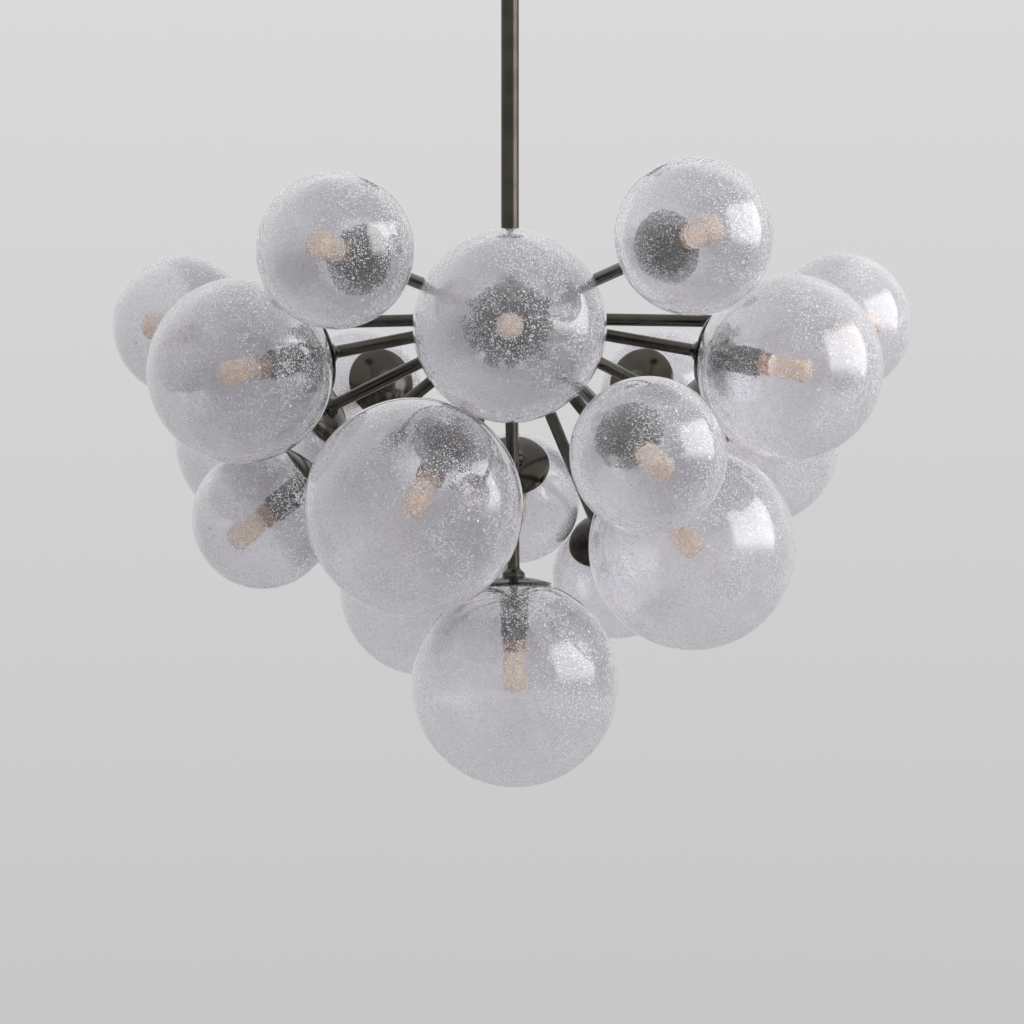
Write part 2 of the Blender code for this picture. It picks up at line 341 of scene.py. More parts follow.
def makeOuterGlass(look):
    # Fine seeds lie just under a smooth skin, denser in some drifts than in others.
    shader = Shader("seededGlassOutside")
    position = shader.add("ShaderNodeTexCoord", out=3)
    # the belt between the equator and the neck scatters the light that goes out through it, and its
    # darker tint there is painted shade, for the shade on each globe's hub side
    neckSide = shader.add("ShaderNodeAttribute", out=2, attribute_name="towardsNeck")
    goesOut = shader.add("ShaderNodeNewGeometry", out=6)
    belt = shader.math("MULTIPLY", shader.ramp(neckSide, *look["beltStart"], 0.0, 1.0), goesOut)
    clearNeck = shader.ramp(neckSide, *look["beltEnd"], 1.0, look["neckHaze"])
    belt = shader.math("MULTIPLY", clearNeck, belt)
    haze = shader.ramp(belt, 0.0, 1.0, look["hazeClear"], look["hazeBelt"], "LINEAR")
    drift = shader.noise(position, look["driftScale"], 3.0)
    fine = seeds(shader, position, look["fineCell"], look["fineShare"], look["fineFill"])
    dense = shader.ramp(drift, *look["driftRange"], look["driftLow"], 1.0)
    fine = shader.math("MULTIPLY", fine, dense)
    # a coarse bubble is white round its edge and nearly clear in its middle
    ring = seeds(shader, position, look["ringCell"], look["ringShare"], look["ringFill"])
    rim = shader.ramp(ring, *look["ringOutside"], 0.0, 1.0)
    middle = shader.ramp(ring, *look["ringInside"], 1.0, look["ringMiddle"])
    rim = shader.math("MULTIPLY", rim, middle)
    # A slanting look passes through more of the seeded layer: more seeds lie in the way, and
    # what is clear between them is raised to a power of one over the cosine.
    facing = shader.add("ShaderNodeLayerWeight", {"Blend": 0.5}, out=1)
    cosine = shader.math("MAXIMUM", shader.inverse(facing), look["leastCosine"])
    power = shader.math("POWER", cosine, -look["slantPower"])
    slanted = shader.math("MULTIPLY", fine, shader.math("POWER", cosine, -look["slantSeeds"]))
    white = shader.math("MAXIMUM", shader.ramp(slanted, *look["seedEdge"], 0.0, 1.0), rim)
    # strands are where a slow noise passes its middle value, in the drifts only
    curl = shader.noise(position, 1 / look["strandSize"], 2.0)
    offStrand = shader.math("ABSOLUTE", shader.math("SUBTRACT", curl, 0.5))
    inDrift = shader.ramp(drift, *look["strandDrift"], 0.0, 1.0)
    onStrand = shader.ramp(offStrand, *look["strandEdge"], 1.0, 0.0)
    strand = shader.math("MULTIPLY", onStrand, inDrift)
    white = shader.math("MAXIMUM", white, shader.math("MULTIPLY", strand, look["strandWhite"]))
    # dark marks lie where the same noise passes a lower value
    offMark = shader.math("ABSOLUTE", shader.math("SUBTRACT", curl, look["markLevel"]))
    onMark = shader.ramp(offMark, 0.0, look["markEdge"], 1.0, 0.0)
    mark = shader.math("MULTIPLY", onMark, look["markDark"])
    # painted shade: the belt, on the hub side where it is seen from inside, is tinted darker
    tint = shader.mix(belt, look["tint"], look["beltTint"])
    tint = shader.mix(mark, tint, look["markTint"])
    bump = shader.bump(shader.math("MULTIPLY", fine, look["fineDepth"]))
    grain = shader.noise(position, look["grainScale"], 2.0)
    mist = shader.ramp(grain, *look["grainRange"], look["mistLow"], look["mistHigh"])
    clear = shader.math("POWER", shader.inverse(mist), power)
    seedClear = shader.inverse(shader.math("MULTIPLY", white, look["seedWhite"]))
    unveiled = shader.inverse(shader.math("MULTIPLY", belt, look["beltVeil"]))
    clear = shader.math("MULTIPLY", clear, unveiled)
    # the seeds stay white, whatever the glass between them
    tint = shader.mix(white, tint, look["tint"])
    return shader.set(
        Base_Color=tint,
        Roughness=haze,
        IOR=look["ior"],
        Transmission_Weight=shader.math("MINIMUM", clear, seedClear),
        Normal=bump,
        Coat_Weight=1.0,
        Coat_Roughness=look["coatRough"],
        Coat_IOR=look["ior"],
    )


def makeInnerGlass(look):
    # the hollow's wall is clear and a little uneven
    shader = Shader("clearGlassInside")
    position = shader.add("ShaderNodeTexCoord", out=3)
    scale = 1 / look["lumpSize"]
    lumps = shader.noise(position, scale, 1.0)
    bump = shader.bump(shader.math("MULTIPLY", lumps, look["lumpHeight"]))
    return shader.set(
        Base_Color=look["tint"],
        Roughness=look["innerRough"],
        IOR=look["ior"],
        Transmission_Weight=look["innerClear"],
        Normal=bump,
    )


bronzeLook = {
    "pale": (0.062, 0.056, 0.045, 1.0),
    "dark": (0.043, 0.038, 0.031, 1.0),
    "lineScale": (6.0, 5200.0, 1.0),  # brush lines round the piece, along it, and the third way
    "lineRough": (0.14, 0.21),
    "lineStrength": 0.25,
    "lineDepth": 0.00004,
    "blotchScale": 38.0,
    "blotchRough": 0.06,
    "gloss": 0.35,
    "glossRough": 0.10,
}


def makeBronze(look):
    # turned and brushed tube: fine lines round it, soft blotches, and a little dust in the gloss
    shader = Shader("darkBronze")
    around = shader.add("ShaderNodeUVMap", uv_map="turned")
    inputs = {"Vector": around, "Scale": look["lineScale"]}
    lines = shader.noise(shader.add("ShaderNodeMapping", inputs), 1.0, 3.0)
    position = shader.add("ShaderNodeTexCoord", out=3)
    blotch = shader.noise(position, look["blotchScale"], 3.0)
    patch = shader.ramp(blotch, 0.35, 0.7, 0.0, 1.0)
    brushed = shader.ramp(lines, 0.3, 0.7, *look["lineRough"])
    dusty = shader.ramp(blotch, 0.3, 0.8, 0.0, look["blotchRough"])
    return shader.set(
        Base_Color=shader.mix(patch, look["pale"], look["dark"]),
        Metallic=1.0,
        Roughness=shader.math("ADD", brushed, dusty),
        Normal=shader.bump(lines, look["lineStrength"], look["lineDepth"]),
        Coat_Weight=look["gloss"],
        Coat_Roughness=look["glossRough"],
    )


plainLooks = {
    "amberLampGlass": {
        "color": (0.91, 0.81, 0.71),
        "metallic": 0.0,
        "roughness": 0.04,
        "grain": 150.0,
        "ripple": 0.0012,
        "IOR": 1.47,
        "Transmission_Weight": 0.86,
    },
    "amberRing": {
        "color": (0.46, 0.29, 0.18),
        "metallic": 1.0,
        "roughness": 0.20,
        "grain": 60.0,
    },
    "filamentCoat": {
        "color": (0.95, 0.62, 0.22),
        "metallic": 0.0,
        "roughness": 0.5,
        "grain": 200.0,
    },
    "paleWire": {
        "color": (0.86, 0.84, 0.80),
        "metallic": 1.0,
        "roughness": 0.25,
        "grain": 200.0,
    },
    "socketPorcelain": {
        "color": (0.78, 0.76, 0.72),
        "metallic": 0.0,
        "roughness": 0.35,
        "grain": 50.0,
    },
    "linerPlastic": {
        "color": (0.55, 0.53, 0.48),
        "metallic": 0.0,
        "roughness": 0.5,
        "grain": 80.0,
    },
}


def makePlain(name, color, metallic, roughness, grain, ripple=0.0, **more):
    # a finish with a soft unevenness in colour and gloss, and ripples of the height given
    shader = Shader(name)
    position = shader.add("ShaderNodeTexCoord", out=3)
    noise = shader.noise(position, grain, 3.0)
    shade = shader.ramp(noise, 0.3, 0.7, 0.9, 1.06, "LINEAR")
    tinted = shader.add("ShaderNodeVectorMath", {0: color, "Scale": shade}, operation="SCALE")
    rough = shader.ramp(noise, 0.3, 0.7, roughness * 0.8, roughness * 1.25, "LINEAR")
    if ripple:
        more["Normal"] = shader.bump(shader.math("MULTIPLY", noise, ripple))
    return shader.set(Base_Color=tinted, Metallic=metallic, Roughness=rough, **more)


outerGlass = makeOuterGlass(glassLook)
innerGlass = makeInnerGlass(glassLook)
bronze = makeBronze(bronzeLook)
plain = {name: makePlain(name, **values) for name, values in plainLooks.items()}
print("materials made")


globeShape = {
    "sides": 96,
    "outerRows": 64,
    "innerRows": 60,
    "neckRadius": 0.016,
    "neckWall": 0.009,
    "farWall": 0.005,
    "neckEdge": 0.0015,  # the skin ends this far outside the neck's bore, in a round lip
    "lipEdge": 0.0004,
    "lipRound": 0.0014,
    "wallWave": 0.00020,  # how uneven the hollow is
    "skinWave": 0.00006,  # and the outside
    "hollowSeed": 100,  # added to a globe's number, for the hollow's own waves
    "waveCount": 5,
    "waveTurns": (2, 6),
    "waveRises": (1.0, 4.0),
    "waveFade": (0.3, 0.4),  # the waves begin this far from the far pole, over this, in radians
}


def blownWave(reach, size, seed, shape):
    # Blown glass isn't quite even. The surface moves along its own radius by a sum of slow
    # waves round and along the globe, which dies away at both poles.
    random = np.random.default_rng(seed)
    count = shape["waveCount"]
    turns = random.integers(*shape["waveTurns"], count)
    rises = random.uniform(*shape["waveRises"], count)
    phases = random.uniform(0, 2 * np.pi, (2, count))
    still, fading = shape["waveFade"]

    def wave(grid):
        x, y, z = np.moveaxis(grid, -1, 0)
        fromPole = np.arctan2(np.hypot(x, y), reach - z)
        u = np.arctan2(y, x)
        total = sum(
            np.cos(m * u + p) * np.sin(k * fromPole + q)
            for m, k, p, q in zip(turns, rises, phases[0], phases[1])
        )
        fade = np.sin(fromPole) ** 2 * np.clip((fromPole - still) / fading, 0, 1)
        centre = np.array([0.0, 0.0, reach])
        outward = grid - centre
        length = np.linalg.norm(outward, axis=-1, keepdims=True)
        outward /= np.maximum(length, layout["samePoint"])
        return outward * (size * total * fade)[..., None]

    return wave


def makeGlobe(globe, shape):
    reach, radius = globe["reach"], globe["radius"]
    neck = shape["neckRadius"]
    hollow = radius - (shape["farWall"] + shape["neckWall"]) / 2
    middle = reach + (shape["neckWall"] - shape["farWall"]) / 2
    edge = neck + shape["neckEdge"]
    outside = arcPoints(reach, radius, 180, angleAt(edge, radius), shape["outerRows"])
    inside = arcPoints(middle, hollow, angleAt(edge, hollow), 180, shape["innerRows"])
    outerNeck = reach - math.sqrt(radius**2 - neck**2)
    innerNeck = middle - math.sqrt(hollow**2 - neck**2)
    lipStart, lipEnd = outerNeck + shape["lipEdge"], innerNeck - shape["lipEdge"]
    lip = softened(
        [outside[-1], (neck, lipStart), (neck, lipEnd), inside[0]],
        {1: shape["lipRound"], 2: shape["lipRound"]},
    )[1:-1]
    profile = np.concatenate([outside, lip, inside])
    profile[0, 0] = profile[-1, 0] = 0.0
    slots = np.zeros(len(profile) - 1, int)
    slots[len(outside) - 1 :] = 1
    seed = int(globe["tag"])
    outerWave = blownWave(reach, shape["skinWave"], seed, shape)
    innerWave = blownWave(reach, shape["wallWave"], seed + shape["hollowSeed"], shape)

    def wave(grid):
        isOuter = (np.arange(len(grid)) < len(outside))[:, None, None]
        return np.where(isOuter, outerWave(grid), innerWave(grid))

    piece = turned(
        "blownGlobe_" + globe["tag"],
        profile,
        shape["sides"],
        [outerGlass, innerGlass],
        frameAlong(globe["direction"]),
        wave=wave,
        rowSlots=slots,
    )
    # how far each corner lies towards the neck, from -1 at the far pole to 1
    flat = np.empty(len(piece.data.vertices) * 3)
    piece.data.vertices.foreach_get("co", flat)
    offset = flat.reshape(-1, 3) - (hubCentre + globe["direction"] * reach)
    towardsNeck = -(offset @ globe["direction"]) / np.linalg.norm(offset, axis=1)
    attribute = piece.data.attributes.new("towardsNeck", "FLOAT", "POINT")
    attribute.data.foreach_set("value", towardsNeck)
    piece.visible_shadow = False  # clear glass lets the lamps' light through
    return finish(piece, "fixture", "seeded_glass", "glass_globe_" + globe["tag"])


for globe in globes:
    makeGlobe(globe, globeShape)
print("globes made")


armShape = {
    "sides": 48,
    "roundSteps": 4,
    "tubeRadius": 0.0065,
    "collarRadius": 0.012,
    "collarLength": 0.009,
    "collarFlare": 0.005,
    "collarSink": 0.0004,
    "capRadius": 0.039,
    "capWall": 0.0022,
    "capGap": 0.0002,
    "capRows": (12, 16),  # under the cap and over it
    "capEdges": (0.6, 0.5, 0.3),  # its rim's rounding under, at and over its edge, in degrees
    "capRound": 0.0012,
    "sleeveRadius": 0.015,
    "sleeveLength": 0.062,
    "grooveEnds": (0.006, 0.0084),  # from the sleeve's mouth
    "grooveDepth": 0.0006,
    "retainerRadius": 0.024,
    "retainerHeight": 0.005,
    "retainerTop": (0.0025, 0.002),  # its flat top's width round the sleeve, and its rise
    "retainerSide": 0.0022,
    "recessRadius": 0.0112,
    "recessDepth": 0.0105,
    "flareStart": (0.0016, 0.0018),  # inwards from the collar, and along
    "flareEnd": (0.0016, 0.0012),  # outwards from the tube, and along
    "footWidth": 0.0014,  # a ring round the tube at the hub
    "footEnds": (0.0005, 0.0048, 0.0052),  # from the hub's skin: its start, its end and its slope's
    "footSink": 0.0015,
    "headRounds": {2: 0.0005, 3: 0.0011, 9: 0.0010, 10: 0.0010},  # by the corner's number
    "footRounds": {1: 0.0009, 2: 0.0012, 3: 0.0010, 4: 0.0016, 5: 0.0014, 7: 0.0006, 8: 0.0004},
}


def makeArm(globe, shape):
    # from the bottom of the lamp's recess out over the sleeve, retainer, cap, collar and tube
    reach, radius = globe["reach"], globe["radius"]
    gap, neck = layout["fitGap"], globeShape["neckRadius"]
    mouth = reach - radius + shape["sleeveLength"]
    hollow = radius - (globeShape["farWall"] + globeShape["neckWall"]) / 2 - gap
    middle = reach + (globeShape["neckWall"] - globeShape["farWall"]) / 2
    sleeve, retainer = shape["sleeveRadius"], shape["retainerRadius"]
    seat = middle - math.sqrt(hollow**2 - retainer**2)
    seatNeck = middle - math.sqrt(hollow**2 - neck**2)
    recess, bottom = shape["recessRadius"], mouth - shape["recessDepth"]
    grooveStart, grooveEnd = shape["grooveEnds"]
    depth = shape["grooveDepth"]
    topWidth, topRise = shape["retainerTop"]
    top = seatNeck + shape["retainerHeight"] + topRise
    head = softened(
        [
            (0.0, bottom),
            (recess, bottom),
            (recess, mouth),
            (sleeve, mouth),
            (sleeve, mouth - grooveStart),
            (sleeve - depth, mouth - grooveStart - depth),
            (sleeve - depth, mouth - grooveEnd + depth),
            (sleeve, mouth - grooveEnd),
            (sleeve, top),
            (sleeve + topWidth, top),
            (retainer, seat + shape["retainerSide"]),
            (retainer, seat),
        ],
        shape["headRounds"],
        shape["roundSteps"],
    )
    toNeck = arcPoints(middle, hollow, angleAt(retainer, hollow), angleAt(neck, hollow), 5)[1:]
    under = radius + gap + shape["capGap"]
    over = under + shape["capWall"]
    rimAngle = angleAt(shape["capRadius"], under)
    overAngle = angleAt(shape["capRadius"], over)
    edgeUnder, edge, edgeOver = shape["capEdges"]
    rowsUnder, rowsOver = shape["capRows"]
    collar = shape["collarRadius"]
    collarAngle = angleAt(collar + shape["capRound"], over)
    capUnder = arcPoints(reach, under, angleAt(sleeve, under), rimAngle - edgeUnder, rowsUnder)
    rim = arcPoints(reach, (under + over) / 2, rimAngle + edge, rimAngle + edge, 1)
    capOver = arcPoints(reach, over, overAngle - edgeOver, collarAngle, rowsOver)
    collarEnd = reach - math.sqrt(over**2 - collar**2)
    start = collarEnd - shape["collarLength"]
    flare = start + shape["collarFlare"]
    tube, hub = shape["tubeRadius"], layout["hubRadius"]
    foot = tube + shape["footWidth"]
    footStart, footEnd, footSlope = shape["footEnds"]
    lower = softened(
        [
            capOver[-1],
            (collar, collarEnd - shape["collarSink"]),
            (collar, flare),
            (collar - shape["flareStart"][0], flare - shape["flareStart"][1]),
            (tube + shape["flareEnd"][0], start + shape["flareEnd"][1]),
            (tube, start - shape["flareEnd"][1]),
            (tube, hub + footSlope),
            (foot, hub + footEnd),
            (foot, hub + footStart),
            (0.0, hub - shape["footSink"]),
        ],
        shape["footRounds"],
        shape["roundSteps"],
    )[1:]
    neckWall = np.array([[sleeve, seatNeck - shape["capGap"]]])
    profile = np.concatenate([head, toNeck, neckWall, capUnder, rim, capOver, lower])
    axes = frameAlong(globe["direction"])
    piece = turned("armAndSocket_" + globe["tag"], profile, shape["sides"], [bronze], axes)
    return finish(piece, "fixture", "bronze", "arm_" + globe["tag"])


for globe in globes:
    makeArm(globe, armShape)
print("arms made")


lampShape = {
    "sides": 40,
    "ringRadius": 0.0125,
    "ringHeight": 0.013,
    "glassRadius": 0.0135,
    "glassNeck": 0.0105,
    "glassWall": 0.0009,
    "glassLength": 0.042,
    "glassGap": 0.0006,  # between the ring and the glass's length
    "glassFoot": 0.0007,
    "domeHeight": 0.0105,
    "domePowers": (0.8, 0.9),  # under 1 makes the dome squarer than an ellipse
    "shoulderHeight": 0.010,
    "neckHeight": 0.002,
    "shoulderRounds": {1: 0.004, 2: 0.003},
    "discRise": 0.0004,  # the pale disc inside the glass
    "discMargin": 0.0012,
    "grooveEnds": (0.0034, 0.0062),  # from the ring's end
    "grooveDepth": 0.0007,
    "grooveSlope": 0.0008,
    "plugRadius": 0.0103,
    "plugDepth": 0.0095,
    "ringRounds": {2: 0.0008, 7: 0.0008},
    "filamentOffset": 0.0042,
    "filamentEnds": (0.006, 0.011),  # from the ring's end, and from the tip
    "filamentRadius": 0.0011,
    "filamentSides": (8, 10),  # the wire's and the coat's
    "wireRadius": 0.0005,
    "wireRise": 0.004,
    "loopRise": 0.0045,
}


def tubeAlong(name, path, radius, sides, material, axes):
    # A round tube along a path: each ring lies across the path's own direction. The ends are
    # closed by rings of no width.
    path = np.asarray(path, float)
    forward = np.gradient(path, axis=0)
    forward /= np.linalg.norm(forward, axis=1, keepdims=True)
    helper = np.array([0.0, 1.0, 0.0])
    side = np.cross(forward, helper)
    side /= np.linalg.norm(side, axis=1, keepdims=True)
    lift = np.cross(side, forward)
    u = 2 * np.pi * np.arange(sides) / sides
    rings = path[:, None] + radius * (
        np.cos(u)[None, :, None] * side[:, None] + np.sin(u)[None, :, None] * lift[:, None]
    )
    ends = np.repeat(path[[0, -1]][:, None], sides, axis=1)
    grid = np.concatenate([ends[:1], rings, ends[1:]])
    steps = np.linalg.norm(np.diff(grid[:, 0], axis=0), axis=1)
    along = np.concatenate([[0.0], np.cumsum(steps)])
    return skin(name, grid @ axes + hubCentre, along, [material])


def makeLamp(globe, shape):
    tag, axes = globe["tag"], frameAlong(globe["direction"])
    mouth = globe["reach"] - globe["radius"] + armShape["sleeveLength"]
    start = mouth + layout["fitGap"]
    ringEnd = start + shape["ringHeight"]
    ring = shape["ringRadius"]
    disc, neck = ringEnd + shape["discRise"], shape["glassNeck"]
    grooveStart, grooveEnd = shape["grooveEnds"]
    groove, slope = ring - shape["grooveDepth"], shape["grooveSlope"]
    plug, plugEnd = shape["plugRadius"], mouth - shape["plugDepth"]
    base = softened(
        [
            (0.0, disc),
            (neck - shape["discMargin"], disc),
            (ring, ringEnd),
            (ring, ringEnd - grooveStart),
            (groove, ringEnd - grooveStart - slope),
            (groove, ringEnd - grooveEnd + slope),
            (ring, ringEnd - grooveEnd),
            (ring, start),
            (plug, start),
            (plug, plugEnd),
            (0.0, plugEnd),
        ],
        shape["ringRounds"],
        4,
    )
    # the first two rows are the pale disc
    facing = [1, 1] + [0] * (len(base) - 3)
    metals = [plain["amberRing"], plain["socketPorcelain"]]
    collar = turned("lampRing_" + tag, base, shape["sides"], metals, axes, rowSlots=facing)
    wireFoot = ringEnd + shape["glassGap"]
    wide, tip = shape["glassRadius"], wireFoot + shape["glassLength"]
    foot = ringEnd + shape["glassFoot"]
    t = np.linspace(0, np.pi / 2, 14)[:, None]
    # the rounded end: a quarter of a squarish ellipse, flat at the tip
    outPower, downPower = shape["domePowers"]
    fall = shape["domeHeight"] * (1 - np.cos(t) ** downPower)
    dome = np.concatenate([wide * np.sin(t) ** outPower, tip - fall], axis=1)
    shoulder = softened(
        [
            dome[-1],
            (wide, foot + shape["shoulderHeight"]),
            (neck, foot + shape["neckHeight"]),
            (neck, foot),
        ],
        shape["shoulderRounds"],
        7,
    )[1:]
    outer = np.concatenate([dome, shoulder])
    wall = shape["glassWall"]
    inner = outer[::-1].copy()
    inner[:, 0] = np.maximum(inner[:, 0] - wall, 0.0)
    inner[:, 1] = np.clip(inner[:, 1], foot + wall, tip - wall)
    inner[0] = (neck - wall, foot)
    closed = np.concatenate([outer, inner])
    closed[0, 0] = closed[-1, 0] = 0.0
    envelope = turned("lampGlass_" + tag, closed, shape["sides"], [plain["amberLampGlass"]], axes)
    # two coated filaments on a bent wire
    low, high = ringEnd + shape["filamentEnds"][0], tip - shape["filamentEnds"][1]
    t = np.linspace(0, 1, 17)
    off = shape["filamentOffset"]
    loop = [off * np.cos(np.pi * t), 0 * t, high + shape["loopRise"] * np.sin(np.pi * t)]
    wire = np.stack(loop, axis=1)
    rightFoot = np.array([[off, 0.0, wireFoot]])
    leftFoot = np.array([[-off, 0.0, wireFoot]])
    rise = [0.0, 0.0, shape["wireRise"]]
    bent = np.concatenate([rightFoot, rightFoot + rise, wire, leftFoot + rise, leftFoot])
    wireSides, coatSides = shape["filamentSides"]
    pale, amber = plain["paleWire"], plain["filamentCoat"]
    name = "filamentWire_" + tag
    support = tubeAlong(name, bent, shape["wireRadius"], wireSides, pale, axes)
    for sign, side in ((-1, "a"), (1, "b")):
        heights = np.linspace(low, high, 6)
        straight = np.stack([np.full(6, sign * off), np.zeros(6), heights], axis=1)
        name = f"filament_{tag}{side}"
        coat = tubeAlong(name, straight, shape["filamentRadius"], coatSides, amber, axes)
        finish(coat, "fixture", "lamp_amber")
    finish(support, "fixture", "lamp_amber")
    envelope.visible_shadow = False
    finish(envelope, "fixture", "lamp_amber")
    finish(collar, "fixture", "lamp_amber", "lamp_" + tag)


for globe in globes:
    makeLamp(globe, lampShape)
print("lamps made")


stemShape = {
    "sides": 72,
    "rodRadius": 0.0095,
    "ballRadius": 0.020,
    "sleeveRadius": 0.0125,
    "sleeveLength": 0.018,
    "ballFoot": 0.004,
    "sleeveSlope": 0.0012,
    "sleeveEdge": 0.001,
    "sleeveSink": 0.0004,
    "rounds": {3: 0.001, 4: 0.0008},
}


def makeStem(shape):
    rod = shape["rodRadius"]
    sleeve, edge = shape["sleeveRadius"], shape["sleeveEdge"]
    ballAngle = angleAt(rod, shape["ballRadius"])
    hubRadius = layout["hubRadius"]
    hubAngle = angleAt(sleeve + edge, hubRadius)
    ballHeight = layout["swivelHeight"] - layout["hubHeight"]
    hubTop = math.sqrt(hubRadius**2 - sleeve**2)
    sleeveTop = hubTop + shape["sleeveLength"]
    ball = arcPoints(ballHeight, shape["ballRadius"], 180, ballAngle, 30)
    middle = softened(
        [
            ball[-1],
            (rod, ballHeight - shape["ballRadius"] - shape["ballFoot"]),
            (rod, sleeveTop),
            (sleeve, sleeveTop - shape["sleeveSlope"]),
            (sleeve, hubTop + edge),
            (sleeve + edge, hubTop - shape["sleeveSink"]),
        ],
        shape["rounds"],
        4,
    )[1:]
    hub = arcPoints(0.0, hubRadius, 180 - hubAngle, 0, 48)[1:]
    profile = np.concatenate([ball, middle, hub])
    profile[0, 0] = profile[-1, 0] = 0.0
    piece = turned("rodAndHub", profile, shape["sides"], [bronze])
    return finish(piece, "fixture", "bronze", "stem_and_hub")


canopyShape = {
    "sides": 96,
    "radius": 0.070,
    "rim": 0.006,
    "drop": 0.038,
    "wall": 0.003,
    "seatRadius": 0.0223,
    "collarWall": 0.004,
    "wireHoleRadius": 0.008,
    "openAngle": 58.0,
    "topAngle": 92.0,
    "rimRound": 0.0008,
    "mouthRound": 0.0012,
    "linerInner": 0.0203,
    "linerOuter": 0.0220,
    "linerAngles": (100, 63),
}


def makeCanopy(shape):
    # from the wires' hole over the rim, the dome, the seat and the hollow back to the hole
    centre, atCeiling = layout["swivelHeight"], np.zeros(3)
    outerCollar = shape["seatRadius"] + shape["collarWall"]
    a = np.linspace(0, np.pi / 2, 20)[:, None]
    fall = shape["drop"] - shape["rim"]
    spread = shape["radius"] - outerCollar

    def quarter(width, height):
        # a quarter of an ellipse, from the rim to the collar
        points = [outerCollar + width * np.cos(a), -shape["rim"] - height * np.sin(a)]
        return np.concatenate(points, axis=1)

    outside = quarter(spread, fall)
    inside = quarter(spread - shape["wall"], fall - shape["wall"])[::-1]
    seat = arcPoints(centre, shape["seatRadius"], shape["openAngle"], shape["topAngle"], 14)
    mouth = seat[0]
    hole = shape["wireHoleRadius"]
    rimCorners = [(hole, 0.0), (shape["radius"], 0.0), outside[0]]
    rim = softened(rimCorners, {1: shape["rimRound"]}, 4)
    collar = softened(
        [outside[-1], (mouth[0] + shape["collarWall"], mouth[1]), (mouth[0], mouth[1])],
        {1: shape["mouthRound"]},
        5,
    )[1:-1]
    top = np.array([[outerCollar, seat[-1, 1]]])
    ceiling = np.array([[shape["radius"] - shape["wall"], -shape["wall"]], [hole, -shape["wall"]]])
    profile = np.concatenate([rim, outside[1:], collar, seat, top, inside, ceiling])

    def wave(grid):
        # the first and last row become the wires' hole, beside the seat
        offset = np.zeros_like(grid)
        offset[[0, -1], :, 1] = -(outerCollar + shape["radius"] - shape["wall"]) / 2
        return offset

    sides = shape["sides"]
    piece = turned("canopyDome", profile, sides, [bronze], origin=atCeiling, wave=wave, ring=True)
    finish(piece, "ceiling_canopy", "bronze", "canopy")
    upper, lower = shape["linerAngles"]
    outer = arcPoints(centre, shape["linerOuter"], upper, lower, 14)
    inner = arcPoints(centre, shape["linerInner"], lower, upper, 14)
    band = np.concatenate([outer, inner])
    ring = turned("swivelLiner", band, sides, [plain["linerPlastic"]], origin=atCeiling, ring=True)
    finish(ring, "liner", "swivel_liner", "swivel_liner")


makeStem(stemShape)
makeCanopy(canopyShape)
print("rod, hub and canopy made")


room = {
    "background": 0.634,
    "backgroundRise": 0.42,  # how much lighter the background is straight up than level
    "backgroundLeast": 0.5,
    "lightColor": (0.80, 0.80, 0.82, 1.0),
    "lightStrength": 0.58,
    "lightRise": 0.40,  # how much stronger the soft light is from above than level
    "lightRight": 0.16,  # and from the right than from the middle
    "floorDepth": -2.45,
    "floorRadius": 6.0,
    "floorSides": 64,
    "floorTone": (0.66, 0.675),
    "floorGrain": 3.0,
    "floorRough": 0.8,
    "cameraDistance": 3.5,
    "cameraBelowHub": 0.2047,
    "stemPixel": 510.0,
    "imageSize": 1024.0,
    "focalPixels": 3318.0,
    "sensorWidth": 36.0,
    "viewEnd": 50.0,
}


def makeFloor():
    # a flat disc of rings and spokes
    sides = room["floorSides"]
    radius = np.array([0.0, 0.5, 1.0]) * room["floorRadius"]
    profile = np.stack([radius, np.zeros(3)], axis=1)
    grid = turnedGrid(profile, sides)
    shader = Shader("paleFloor")
    position = shader.add("ShaderNodeTexCoord", out=3)
    noise = shader.noise(position, room["floorGrain"], 5.0)
    tone = shader.ramp(noise, 0.3, 0.7, *room["floorTone"])
    color = shader.add("ShaderNodeCombineColor", {0: tone, 1: tone, 2: tone})
    material = shader.set(Base_Color=color, Roughness=room["floorRough"])
    mesh = bpy.data.meshes.new("floor")
    number = np.arange(3 * sides).reshape(3, sides)
    following = np.roll(number, -1, axis=1)
    quads = np.stack([number[:-1], number[1:], following[1:], following[:-1]], axis=-1)
    mesh.from_pydata(grid.reshape(-1, 3).tolist(), [], quads.reshape(-1, 4).tolist())
    mesh.materials.append(material)
    mesh.validate()
    floor = bpy.data.objects.new("floor", mesh)
    floor.location = (0.0, 0.0, room["floorDepth"])
    bpy.context.scene.collection.objects.link(floor)


